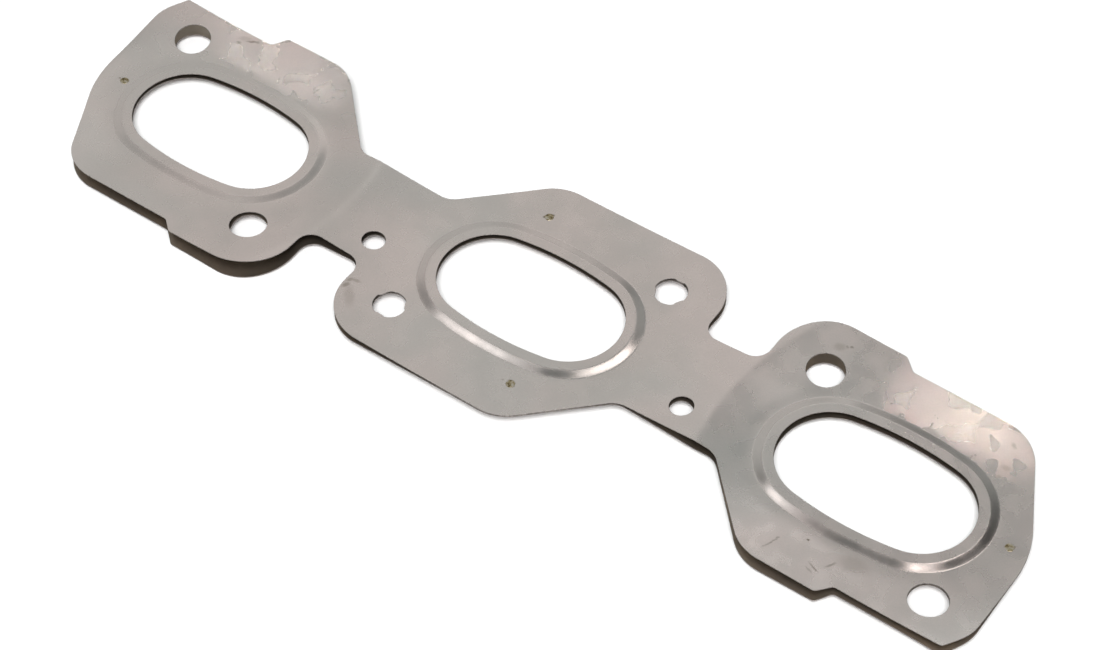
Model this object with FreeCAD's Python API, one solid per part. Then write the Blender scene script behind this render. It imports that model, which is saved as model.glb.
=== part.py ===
"""Exhaust manifold gasket: two thin stainless sheets, three oblong ports, four spot welds.

Millimetres, +X along the row of ports, +Z out of the upper sheet. Z = 0 is the middle plane,
where the two sheets are pinched together at the spot welds and from which they spread apart.
"""
import FreeCAD
import Part
import math
import os

# Sheets
SHEET_THICKNESS = 0.25
WELD_PLANE_GAP = 0.04

# Ports: four-arc ovals on one line
PORT_PITCH = 100.0
PORT_LENGTH = 51.5
PORT_WIDTH = 30.0
PORT_SIDE_BULGE = 1.0

# Raised ring around each port
RING_WIDTH = 2.6
BEAD_SLOPE_WIDTH = 2.4
LEFT_BEAD_HEIGHT = 0.35
BEAD_HEIGHT = 0.65

# Stud holes, measured from the centre of their port
STUD_OFFSET_X = 27.4
STUD_OFFSET_Y = 21.6
END_STUD_HOLE_DIAMETER = 9.7
CENTRE_STUD_HOLE_DIAMETER = 8.5

# Lugs in the centre stud holes of the upper sheet
LUG_COUNT = 3
LUG_DEPTH = 0.45
LUG_WIDTH = 2.2

# Small holes in the necks
SMALL_HOLE_DIAMETER = 6.1
LEFT_SMALL_HOLE_X = -43.5
RIGHT_SMALL_HOLE_X = 50.1
SMALL_HOLE_Y = -7.3

# Outline, which turns into itself by half a turn about the centre port
CENTRE_STUD_MARGIN = 13.8
END_STUD_MARGIN = 14.0
END_REACH = 40.5
NECK_HALF_WIDTH = 14.6
NECK_STUD_FILLET = 4.3
NECK_SLANT_FILLET = 6.0
SLANT_CORNER_RADIUS = 12.5
CENTRE_SLANT_TOP_X = 15.0
CENTRE_SLANT_FOOT_X = 36.5
END_SLANT_FOOT_X = 35.5
END_SLANT_TOP_X = 15.2
END_SLANT_HALF_WIDTH = 35.2
STEP_RADIUS = 1.5
STUD_STEP_X = 13.0
STUD_STEP_RUN = 3.5
STUD_STEP_DROP = 3.0
SLANT_STEP_X = 5.3
SLANT_STEP_RUN = 2.8
SLANT_STEP_DROP = 3.9
END_CHAMFER_X = 24.4
END_CHAMFER_Y = 2.9
END_CHAMFER_RADIUS = 13.0
OUTER_CORNER_X = 36.6
OUTER_CORNER_Y = 24.5
OUTER_CORNER_RADIUS = 12.0
OUTER_TIP_RADIUS = 1.2
EDGE_BLEND_RADIUS = 30.0

# Spread of the sheets away from the welds, as each sheet's lift off the middle plane
LEFT_SEAT_LIFT = 0.35
CENTRE_SEAT_LIFT = 0.02
RIGHT_SEAT_LIFT = 0.45
END_SPREAD_SLOPE = 0.14
CENTRE_SPREAD_SLOPE = 0.075
SPREAD_START = 1.0
SPREAD_BLEND = 0.8
FIELD_BLEND = 0.12

# Spot welds, measured from the centre of their port
WELD_DIAMETER = 2.4
WELD_CROWN = 0.06
LEFT_WELD_X = 33.0
LEFT_WELD_Y = 0.0
RIGHT_WELD_X = 35.0
RIGHT_WELD_Y = 2.0
CENTRE_WELD_X = 12.0
CENTRE_WELD_Y = 24.7
LEFT_WELD_REACH = 14.0
RIGHT_WELD_REACH = 38.0
CENTRE_WELD_REACH = 40.0

# Spacing of the control points that carry the curved faces
GRID_STEP = 6.0
GRID_MARGIN = 4.0

PORT_CENTRES = (-PORT_PITCH, 0.0, PORT_PITCH)
BEAD_HEIGHTS = (LEFT_BEAD_HEIGHT, BEAD_HEIGHT, BEAD_HEIGHT)
SEAT_LIFTS = (LEFT_SEAT_LIFT, CENTRE_SEAT_LIFT, RIGHT_SEAT_LIFT)
SPREAD_SLOPES = (END_SPREAD_SLOPE, CENTRE_SPREAD_SLOPE, END_SPREAD_SLOPE)
PORT_END_RADIUS = 0.5 * PORT_WIDTH - PORT_SIDE_BULGE
PORT_CORE = 0.5 * PORT_LENGTH - PORT_END_RADIUS
BEAD_FOOT = RING_WIDTH + BEAD_SLOPE_WIDTH
STUD_EDGE = STUD_OFFSET_Y + END_STUD_MARGIN
WELDS = (
    (-PORT_PITCH - LEFT_WELD_X, LEFT_WELD_Y, LEFT_WELD_REACH),
    (PORT_PITCH + RIGHT_WELD_X, RIGHT_WELD_Y, RIGHT_WELD_REACH),
    (-CENTRE_WELD_X, CENTRE_WELD_Y, CENTRE_WELD_REACH),
    (CENTRE_WELD_X, -CENTRE_WELD_Y, CENTRE_WELD_REACH),
)
TOOL_HALF_HEIGHT = 0.5 * PORT_PITCH


def softplus(value, width):
    """Rise smoothly from zero to the value itself."""
    ratio = value / width
    if ratio > 30.0:
        return value
    return width * math.log(1.0 + math.exp(ratio))


def flange_lift(x, y, centre, seat, slope):
    """Lift around one port: level as far as the bead, then a steady rise."""
    reach = math.hypot(max(abs(x - centre) - PORT_CORE, 0.0), y)
    free = reach - (0.5 * PORT_WIDTH + BEAD_FOOT + SPREAD_START)
    return seat + slope * softplus(free, SPREAD_BLEND)


def weld_hold(x, y):
    """Share of the lift that is left beside the welds, zero at each weld."""
    hold = 1.0
    for weld_x, weld_y, reach in WELDS:
        hold *= 1.0 - math.exp(-((x - weld_x) ** 2 + (y - weld_y) ** 2) / reach ** 2)
    return hold


def sheet_lift(x, y):
    """Lift of a sheet's inner face off the middle plane."""
    fields = zip(PORT_CENTRES, SEAT_LIFTS, SPREAD_SLOPES)
    lifts = [flange_lift(x, y, centre, seat, slope) for centre, seat, slope in fields]
    lowest = min(lifts)
    share = sum(math.exp((lowest - lift) / FIELD_BLEND) for lift in lifts)
    blended = lowest - FIELD_BLEND * math.log(share)
    return 0.5 * WELD_PLANE_GAP + max(blended, 0.0) * weld_hold(x, y)


def cubic_stations(low, high):
    """Even knots over a span, and the stations of the control points that go with them."""
    spans = int(math.ceil((high - low) / GRID_STEP))
    knots = [low + (high - low) * i / spans for i in range(spans + 1)]
    flat = [low] * 3 + knots + [high] * 3
    stations = [sum(flat[i + 1:i + 4]) / 3.0 for i in range(spans + 3)]
    return stations, knots, [4] + [1] * (spans - 1) + [4]


def field_surface(centre, half_x, half_y, rise):
    """Curved surface at the sheet's lift plus a rise, with x and y as its parameters."""
    xs, x_knots, x_mults = cubic_stations(centre - half_x, centre + half_x)
    ys, y_knots, y_mults = cubic_stations(-half_y, half_y)
    poles = [[FreeCAD.Vector(x, y, sheet_lift(x, y) + rise) for y in ys] for x in xs]
    surface = Part.BSplineSurface()
    surface.buildFromPolesMultsKnots(poles, x_mults, y_mults, x_knots, y_knots, False, False, 3, 3)
    return surface


def oval_arcs(centre, offset):
    """Centre, radius, start and end angle of a port's four arcs, grown by the offset."""
    half_width = 0.5 * PORT_WIDTH
    rise = PORT_CORE ** 2 + half_width ** 2 - PORT_END_RADIUS ** 2
    side = rise / (2.0 * PORT_SIDE_BULGE)
    below = side - half_width
    turn = math.atan2(PORT_CORE, below)
    up = 0.5 * math.pi
    return [
        ((centre, -below), side + offset, up - turn, up + turn),
        ((centre - PORT_CORE, 0.0), PORT_END_RADIUS + offset, up + turn, 3.0 * up - turn),
        ((centre, below), side + offset, 3.0 * up - turn, 3.0 * up + turn),
        ((centre + PORT_CORE, 0.0), PORT_END_RADIUS + offset, 3.0 * up + turn, 5.0 * up - turn),
    ]


def oval_edges(centre, offset, surface):
    """A port's oval as four edges that lie on a surface."""
    edges = []
    for middle, radius, start, end in oval_arcs(centre, offset):
        circle = Part.Geom2d.Circle2d(FreeCAD.Base.Vector2d(*middle), radius)
        edges.append(Part.Geom2d.ArcOfCircle2d(circle, start, end).toShape(surface))
    return edges


def skin(rise):
    """One side of a sheet before trimming: the open faces and their outer edges."""
    half_x = PORT_PITCH + END_REACH + GRID_MARGIN
    half_y = STUD_EDGE + GRID_MARGIN
    base = field_surface(0.0, half_x, half_y, rise)
    corners = [(-half_x, -half_y), (half_x, -half_y), (half_x, half_y), (-half_x, half_y)]
    points = [FreeCAD.Base.Vector2d(*corner) for corner in corners]
    rim = []
    for i in range(4):
        rim.append(Part.Geom2d.Line2dSegment(points[i], points[(i + 1) % 4]).toShape(base))
    faces = []
    openings = []
    raised_x = 0.5 * PORT_LENGTH + RING_WIDTH + GRID_MARGIN
    raised_y = 0.5 * PORT_WIDTH + RING_WIDTH + GRID_MARGIN
    for centre, height in zip(PORT_CENTRES, BEAD_HEIGHTS):
        raised = field_surface(centre, raised_x, raised_y, rise + height)
        foot = oval_edges(centre, BEAD_FOOT, base)
        ring = oval_edges(centre, RING_WIDTH, raised)
        faces.append(Part.Face(raised, Part.Wire(ring)))
        faces += [Part.makeRuledSurface(low, high) for low, high in zip(foot, ring)]
        opening = Part.Wire(foot)
        opening.reverse()
        openings.append(opening)
    plate = Part.Face(base, Part.Wire(rim))
    plate.cutHoles(openings)
    faces.append(plate)
    return faces, rim


def blank():
    """Curved sheet with its three raised discs, larger than the outline and without holes."""
    lower, lower_rim = skin(0.0)
    upper, upper_rim = skin(SHEET_THICKNESS)
    sides = [Part.makeRuledSurface(low, high) for low, high in zip(lower_rim, upper_rim)]
    shell = Part.makeCompound(lower + upper + sides)
    shell.sewShape(0.001)
    solid = Part.Solid(shell.Shells[0])
    if solid.Volume < 0.0:
        solid.reverse()
    return solid


def rounded_wire(corners):
    """Closed flat wire through (x, y, radius) corners, each rounded as far as its legs allow."""
    count = len(corners)
    points = [FreeCAD.Vector(x, y, 0.0) for x, y, _ in corners]
    halves = []
    setbacks = []
    for i in range(count):
        back = points[i - 1] - points[i]
        ahead = points[(i + 1) % count] - points[i]
        halves.append(0.5 * back.getAngle(ahead))
        setbacks.append(corners[i][2] / math.tan(halves[i]))
    shares = [1.0] * count
    for i in range(count):
        after = (i + 1) % count
        leg = (points[after] - points[i]).Length
        fit = 0.98 * leg / (setbacks[i] + setbacks[after])
        shares[i] = min(shares[i], fit)
        shares[after] = min(shares[after], fit)
    rounds = []
    for i in range(count):
        back = (points[i - 1] - points[i]).normalize()
        ahead = (points[(i + 1) % count] - points[i]).normalize()
        setback = setbacks[i] * shares[i]
        radius = corners[i][2] * shares[i]
        inward = (back + ahead).normalize()
        middle = points[i] + inward * (radius / math.sin(halves[i]) - radius)
        rounds.append((points[i] + back * setback, middle, points[i] + ahead * setback))
    edges = []
    for i in range(count):
        start, middle, end = rounds[i]
        edges.append(Part.Arc(start, middle, end).toShape())
        edges.append(Part.makeLine(end, rounds[(i + 1) % count][0]))
    return Part.Wire(edges)


def half_outline():
    """Corners from the right outer edge over the top to the left outer edge."""
    outer = PORT_PITCH + END_REACH
    end_stud_x = PORT_PITCH - STUD_OFFSET_X - END_STUD_MARGIN
    centre_stud_x = STUD_OFFSET_X + CENTRE_STUD_MARGIN
    centre_y = STUD_OFFSET_Y + CENTRE_STUD_MARGIN
    step_y = STUD_EDGE - STUD_STEP_DROP
    low_y = END_SLANT_HALF_WIDTH - SLANT_STEP_DROP
    step_x = PORT_PITCH + SLANT_STEP_X
    return [
        (outer, END_CHAMFER_Y, EDGE_BLEND_RADIUS),
        (PORT_PITCH + END_CHAMFER_X, step_y, END_CHAMFER_RADIUS),
        (PORT_PITCH - STUD_STEP_X + STUD_STEP_RUN, step_y, STEP_RADIUS),
        (PORT_PITCH - STUD_STEP_X, STUD_EDGE, STEP_RADIUS),
        (end_stud_x, STUD_EDGE, END_STUD_MARGIN),
        (end_stud_x, NECK_HALF_WIDTH, NECK_STUD_FILLET),
        (centre_stud_x, NECK_HALF_WIDTH, NECK_STUD_FILLET),
        (centre_stud_x, centre_y, CENTRE_STUD_MARGIN),
        (-CENTRE_SLANT_TOP_X, centre_y, SLANT_CORNER_RADIUS),
        (-CENTRE_SLANT_FOOT_X, NECK_HALF_WIDTH, NECK_SLANT_FILLET),
        (-PORT_PITCH + END_SLANT_FOOT_X, NECK_HALF_WIDTH, NECK_SLANT_FILLET),
        (-PORT_PITCH + END_SLANT_TOP_X, END_SLANT_HALF_WIDTH, SLANT_CORNER_RADIUS),
        (-step_x, END_SLANT_HALF_WIDTH, STEP_RADIUS),
        (-step_x - SLANT_STEP_RUN, low_y, STEP_RADIUS),
        (-PORT_PITCH - OUTER_CORNER_X, low_y, OUTER_TIP_RADIUS),
        (-outer, OUTER_CORNER_Y, OUTER_CORNER_RADIUS),
    ]


def outline_wire():
    """Whole outline: the half outline and the same turned by half a turn."""
    half = half_outline()
    return rounded_wire(half + [(-x, -y, radius) for x, y, radius in half])


def oval_wire(centre):
    """Flat wire of a port's four arcs."""
    edges = []
    for (x, y), radius, start, end in oval_arcs(centre, 0.0):
        circle = Part.Circle(FreeCAD.Vector(x, y, 0.0), FreeCAD.Vector(0, 0, 1), radius)
        edges.append(Part.ArcOfCircle(circle, start, end).toShape())
    return Part.Wire(edges)


def upright(wire):
    """Upright prism over a flat wire, well past both faces of a sheet."""
    bottom = wire.translated(FreeCAD.Vector(0, 0, -TOOL_HALF_HEIGHT))
    return Part.Face(bottom).extrude(FreeCAD.Vector(0, 0, 2.0 * TOOL_HALF_HEIGHT))


def pin(x, y, diameter, half_height=TOOL_HALF_HEIGHT):
    """Upright cylinder, centred on the middle plane."""
    foot = FreeCAD.Vector(x, y, -half_height)
    return Part.makeCylinder(0.5 * diameter, 2.0 * half_height, foot)


def centre_stud_tool(side, lugs):
    """Cutter for a centre stud hole, which leaves the lugs standing where asked."""
    x = side * STUD_OFFSET_X
    y = side * STUD_OFFSET_Y
    tool = pin(x, y, CENTRE_STUD_HOLE_DIAMETER)
    if not lugs:
        return tool
    for i in range(LUG_COUNT):
        lug = Part.makeBox(2.0 * LUG_DEPTH, LUG_WIDTH, 2.0 * TOOL_HALF_HEIGHT)
        inner = 0.5 * CENTRE_STUD_HOLE_DIAMETER - LUG_DEPTH
        lug.translate(FreeCAD.Vector(inner, -0.5 * LUG_WIDTH, -TOOL_HALF_HEIGHT))
        angle = side * 90.0 + 360.0 * i / LUG_COUNT
        lug.rotate(FreeCAD.Vector(0, 0, 0), FreeCAD.Vector(0, 0, 1), angle)
        lug.translate(FreeCAD.Vector(x, y, 0))
        tool = tool.cut(lug)
    return tool


def hole_tools(lugs):
    """Cutters for the ports, the stud holes, the small holes and the welds."""
    tools = [upright(oval_wire(centre)) for centre in PORT_CENTRES]
    tools += [centre_stud_tool(side, lugs) for side in (-1, 1)]
    for port in (-PORT_PITCH, PORT_PITCH):
        for side in (-1, 1):
            x = port + side * STUD_OFFSET_X
            tools.append(pin(x, -side * STUD_OFFSET_Y, END_STUD_HOLE_DIAMETER))
    for x in (LEFT_SMALL_HOLE_X, RIGHT_SMALL_HOLE_X):
        tools.append(pin(x, SMALL_HOLE_Y, SMALL_HOLE_DIAMETER))
    tools += [pin(x, y, WELD_DIAMETER) for x, y, _ in WELDS]
    return tools


def sheet(lugs):
    """One finished sheet in the upper position."""
    return blank().common(upright(outline_wire())).cut(hole_tools(lugs))


def lower_sheet():
    """The lower sheet faces the upper one back to back, with plain round centre holes."""
    return sheet(lugs=False).mirror(FreeCAD.Vector(0, 0, 0), FreeCAD.Vector(0, 0, 1))


def spot_welds():
    """Four welds, each fused through both sheets and standing just proud of them."""
    half_height = 0.5 * WELD_PLANE_GAP + SHEET_THICKNESS + WELD_CROWN
    return Part.makeCompound([pin(x, y, WELD_DIAMETER, half_height) for x, y, _ in WELDS])


os.makedirs("parts", exist_ok=True)
NODES = {
    "upper_sheet": sheet(lugs=True),
    "lower_sheet": lower_sheet(),
    "spot_welds": spot_welds(),
}
for name, shape in NODES.items():
    shape.exportStep("parts/" + name + ".step")
    print(name, len(shape.Solids), round(shape.Volume, 2), shape.isValid())
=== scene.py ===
"""Exhaust manifold gasket: two dished steel sheets, spot welds, a pale floor and lights."""

import logging
import math
from dataclasses import dataclass, field
from enum import Enum

import bpy
import numpy as np
from mathutils import Matrix, Vector
from mathutils.geometry import delaunay_2d_cdt


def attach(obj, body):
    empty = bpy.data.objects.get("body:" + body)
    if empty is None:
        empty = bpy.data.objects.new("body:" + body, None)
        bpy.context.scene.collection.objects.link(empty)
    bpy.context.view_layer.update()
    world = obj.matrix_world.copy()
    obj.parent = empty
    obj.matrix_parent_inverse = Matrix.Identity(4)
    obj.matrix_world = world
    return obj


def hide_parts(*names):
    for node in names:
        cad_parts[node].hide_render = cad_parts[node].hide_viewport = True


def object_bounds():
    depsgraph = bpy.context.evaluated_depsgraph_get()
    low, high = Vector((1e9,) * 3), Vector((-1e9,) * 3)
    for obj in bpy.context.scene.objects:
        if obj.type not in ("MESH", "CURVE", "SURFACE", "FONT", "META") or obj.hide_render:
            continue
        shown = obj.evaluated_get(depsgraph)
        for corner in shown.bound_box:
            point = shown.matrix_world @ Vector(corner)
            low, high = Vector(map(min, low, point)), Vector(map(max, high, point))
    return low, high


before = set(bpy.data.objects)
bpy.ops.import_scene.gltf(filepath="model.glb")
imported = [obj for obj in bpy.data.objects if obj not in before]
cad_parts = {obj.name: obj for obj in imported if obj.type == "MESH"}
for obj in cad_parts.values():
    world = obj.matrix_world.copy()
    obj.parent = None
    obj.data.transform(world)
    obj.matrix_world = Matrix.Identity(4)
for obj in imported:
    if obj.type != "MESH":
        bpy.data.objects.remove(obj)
CAD_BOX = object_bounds()
LOG = logging.getLogger("gasket")
MM = 0.001

Socket = bpy.types.NodeSocket
Material = bpy.types.Material
Array = np.ndarray
Triple = tuple[float, float, float]
Colour = Triple
Pairs = tuple[tuple[float, float], ...]


class Side(Enum):
    """Which of the two sheets: the upper one, or its mirror image below."""

    UPPER = 1.0
    LOWER = -1.0


class Skin(Enum):
    """Which part of a sheet a face belongs to, as its finish's place in the mesh."""

    OUTER = 0
    EDGE = 1
    INNER = 2


class Trace(Enum):
    """What kind of trace a mark on the sheet is."""

    HEAT = "heat"
    RUB = "rub"
    SCRATCH = "scratch"


def add_object(name: str, data: bpy.types.ID) -> bpy.types.Object:
    """Make an object and put it into the scene.

    Args:
        name: the object's name.
        data: its mesh, light or camera.

    Returns:
        The new object.
    """
    made = bpy.data.objects.new(name, data)
    bpy.context.scene.collection.objects.link(made)
    return made


def add_node(tree: bpy.types.NodeTree, kind: str, inputs: dict | None = None,
             **settings: str) -> bpy.types.Node:
    """Add a node, set it up and feed its inputs.

    Args:
        tree: where to add it.
        kind: its type, without "ShaderNode".
        inputs: by input, the socket to join it to or the value to set it to.
        settings: its other settings.

    Returns:
        The new node.
    """
    node = tree.nodes.new("ShaderNode" + kind)
    for name, setting in settings.items():
        setattr(node, name, setting)
    for key, value in (inputs or {}).items():
        if isinstance(value, Socket):
            tree.links.new(value, node.inputs[key])
        else:
            node.inputs[key].default_value = value
    return node


def soft_ramp(value: Array, width: float) -> Array:
    """Rise smoothly from zero to the value itself.

    Args:
        value: where to evaluate, in millimetres.
        width: length over which the corner is rounded.

    Returns:
        The rounded ramp at each value.
    """
    return width * np.logaddexp(0.0, value / width)


@dataclass(frozen=True)
class PortOval:
    """A port's opening: two end arcs joined by two long, slightly bowed sides. Millimetres."""

    centre_x: float
    length: float = 51.5
    width: float = 30.0
    side_bulge: float = 1.0
    side_steps: int = 36
    end_steps: int = 84

    @property
    def end_radius(self) -> float:
        """Radius of the two end arcs."""
        return 0.5 * self.width - self.side_bulge

    @property
    def core(self) -> float:
        """Distance from the middle to the centre of an end arc."""
        return 0.5 * self.length - self.end_radius

    @property
    def side_radius(self) -> float:
        """Radius of the two bowed sides."""
        rise = self.core ** 2 + (0.5 * self.width) ** 2 - self.end_radius ** 2
        return rise / (2.0 * self.side_bulge)

    def loop(self, offset: float) -> Array:
        """Walk once round the oval, clockwise, so that the sheet lies on the left.

        Args:
            offset: how far outside the opening's edge.

        Returns:
            Points as an array of rows (x, y).
        """
        below = self.side_radius - 0.5 * self.width
        turn = math.atan2(self.core, below)
        quarter = 0.5 * math.pi
        side = (self.side_radius, self.side_steps)
        tip = (self.end_radius, self.end_steps)
        arcs = (
            (0.0, -below, *side, quarter - turn, quarter + turn),
            (-self.core, 0.0, *tip, quarter + turn, 3 * quarter - turn),
            (0.0, below, *side, 3 * quarter - turn, 3 * quarter + turn),
            (self.core, 0.0, *tip, 3 * quarter + turn, 5 * quarter - turn),
        )
        rows = []
        for x, y, radius, steps, start, end in arcs:
            angle = start + (end - start) * np.arange(steps) / steps
            reach = radius + offset
            across = self.centre_x + x + reach * np.cos(angle)
            rows.append(np.stack([across, y + reach * np.sin(angle)], 1))
        return np.concatenate(rows)[::-1]

    def distance(self, xy: Array) -> Array:
        """Distance outside the opening's edge.

        Args:
            xy: rows (x, y).

        Returns:
            One distance per point, below nought inside the opening.
        """
        x = np.abs(xy[:, 0] - self.centre_x)
        y = np.abs(xy[:, 1])
        below = self.side_radius - 0.5 * self.width
        beyond = self.core * (y + below) - below * x < 0.0
        round_end = np.hypot(x - self.core, y) - self.end_radius
        bowed_side = np.hypot(x, y + below) - self.side_radius
        return np.where(beyond, round_end, bowed_side)


@dataclass(frozen=True)
class RoundHole:
    """A stud hole or small hole, with lugs standing into it where it has any. Millimetres."""

    x: float
    y: float
    diameter: float
    lug_angles: tuple[float, ...] = ()
    lug_depth: float = 0.45
    lug_width: float = 2.2
    lug_corner: float = 0.28
    spacing: float = 0.3
    fewest_points: int = 48

    def loop(self) -> Array:
        """Walk once round the hole, clockwise, so that the sheet lies on the left.

        Returns:
            Points as an array of rows (x, y).
        """
        count = max(self.fewest_points, int(math.pi * self.diameter / self.spacing))
        angle = -2.0 * math.pi * np.arange(count) / count
        radius = np.full(count, 0.5 * self.diameter)
        for lug in self.lug_angles:
            away = np.abs((angle - lug + math.pi) % (2.0 * math.pi) - math.pi) * radius
            edge = (0.5 * self.lug_width - away) / self.lug_corner
            radius = radius - self.lug_depth / (1.0 + np.exp(-2.0 * edge))
        return np.stack([self.x + radius * np.cos(angle), self.y + radius * np.sin(angle)], 1)


@dataclass(frozen=True)
class FlangeOutline:
    """Outer edge: three flanges and two necks, the same after half a turn. Millimetres."""

    corners: tuple[Triple, ...] = (
        (140.5, 2.9, 30.0), (124.4, 32.6, 13.0), (90.5, 32.6, 1.5), (87.0, 35.6, 1.5),
        (58.6, 35.6, 14.0), (58.6, 14.6, 4.3), (41.2, 14.6, 4.3), (41.2, 35.4, 13.8),
        (-15.0, 35.4, 12.5), (-36.5, 14.6, 6.0), (-64.5, 14.6, 6.0), (-84.8, 35.2, 12.5),
        (-105.3, 35.2, 1.5), (-108.1, 31.3, 1.5), (-136.6, 31.3, 1.2), (-140.5, 24.5, 12.0),
    )
    spacing: float = 0.8
    fewest_steps: int = 6
    straight_stretch: float = 1.6
    most_of_leg: float = 0.98

    def loop(self) -> Array:
        """Walk once round the outline, anticlockwise, so that the sheet lies on the left.

        Returns:
            Points as an array of rows (x, y).
        """
        turned = [(-x, -y, radius) for x, y, radius in self.corners]
        corners = list(self.corners) + turned
        points = np.array([corner[:2] for corner in corners])
        count = len(corners)
        back = np.roll(points, 1, 0) - points
        ahead = np.roll(points, -1, 0) - points
        back_leg = np.linalg.norm(back, axis=1)
        ahead_leg = np.linalg.norm(ahead, axis=1)
        back_way = back / back_leg[:, None]
        ahead_way = ahead / ahead_leg[:, None]
        half = 0.5 * np.arccos(np.clip((back_way * ahead_way).sum(1), -1.0, 1.0))
        setback = np.array([corner[2] for corner in corners]) / np.tan(half)
        share = np.minimum(1.0, self.most_of_leg * ahead_leg / (setback + np.roll(setback, -1)))
        share = np.minimum(share, np.roll(share, 1))
        rows: list[Array] = []
        for i in range(count):
            radius = corners[i][2] * share[i]
            inward = back_way[i] + ahead_way[i]
            inward = inward / np.linalg.norm(inward)
            centre = points[i] + inward * radius / math.sin(half[i])
            start = points[i] + back_way[i] * setback[i] * share[i] - centre
            end = points[i] + ahead_way[i] * setback[i] * share[i] - centre
            sweep = math.atan2(start[0] * end[1] - start[1] * end[0], float(start @ end))
            steps = max(self.fewest_steps, int(abs(sweep) * radius / self.spacing))
            first = math.atan2(start[1], start[0])
            angle = first + sweep * np.arange(steps + 1) / steps
            rows.append(centre + radius * np.stack([np.cos(angle), np.sin(angle)], 1))
            after = (i + 1) % count
            finish = points[after] - ahead_way[i] * setback[after] * share[after]
            run = float(np.linalg.norm(finish - rows[-1][-1]))
            links = max(1, int(run / (self.straight_stretch * self.spacing)))
            fraction = np.arange(1, links)[:, None] / links
            rows.append(rows[-1][-1] * (1.0 - fraction) + finish * fraction)
        return np.concatenate(rows)


@dataclass(frozen=True)
class SheetSpread:
    """How far each sheet stands off the middle plane between the welds. Millimetres."""

    gap: float = 0.04
    thickness: float = 0.25
    port_centres: tuple[float, ...] = (-100.0, 0.0, 100.0)
    seats: tuple[float, ...] = (0.35, 0.02, 0.45)
    slopes: tuple[float, ...] = (0.14, 0.075, 0.14)
    start: float = 21.0
    core: float = 11.75
    start_blend: float = 0.8
    field_blend: float = 0.12
    welds: tuple[Triple, ...] = (
        (-133.0, 0.0, 14.0), (135.0, 2.0, 38.0), (-12.0, 24.7, 40.0), (12.0, -24.7, 40.0),
    )

    def lift(self, xy: Array) -> Array:
        """Lift of a sheet's inner face off the middle plane, beads left out.

        Args:
            xy: rows (x, y).

        Returns:
            One lift per point.
        """
        x, y = xy[:, 0], xy[:, 1]
        lifts = []
        for centre, seat, slope in zip(self.port_centres, self.seats, self.slopes):
            reach = np.hypot(np.maximum(np.abs(x - centre) - self.core, 0.0), y)
            lifts.append(seat + slope * soft_ramp(reach - self.start, self.start_blend))
        blended = np.logaddexp.reduce([-lift / self.field_blend for lift in lifts])
        blended = -self.field_blend * blended
        hold = np.ones(len(xy))
        for weld_x, weld_y, reach in self.welds:
            hold = hold * (1.0 - np.exp(-((x - weld_x) ** 2 + (y - weld_y) ** 2) / reach ** 2))
        return 0.5 * self.gap + np.maximum(blended, 0.0) * hold


@dataclass(frozen=True)
class PortBead:
    """The raised ring round a port: level beside the opening, then a slope down. Millimetres."""

    ring_width: float = 2.6
    slope_width: float = 2.4
    heights: tuple[float, ...] = (0.35, 0.65, 0.65)
    bend: float = 0.09
    stations: tuple[float, ...] = (
        0.5, 1.1, 1.7, 2.1, 2.3, 2.42, 2.52, 2.6, 2.68, 2.78, 2.92, 3.2, 3.6, 4.0, 4.4, 4.68,
        4.82, 4.92, 5.0, 5.08, 5.18, 5.32, 5.6, 6.0, 6.4, 6.9,
    )

    def share(self, distance: Array) -> Array:
        """Share of the bead's height at each distance from the opening.

        Args:
            distance: distances outside the opening's edge.

        Returns:
            One share per distance, from nought to one.
        """
        foot = soft_ramp(self.ring_width + self.slope_width - distance, self.bend)
        crest = soft_ramp(self.ring_width - distance, self.bend)
        return (foot - crest) / self.slope_width


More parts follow.
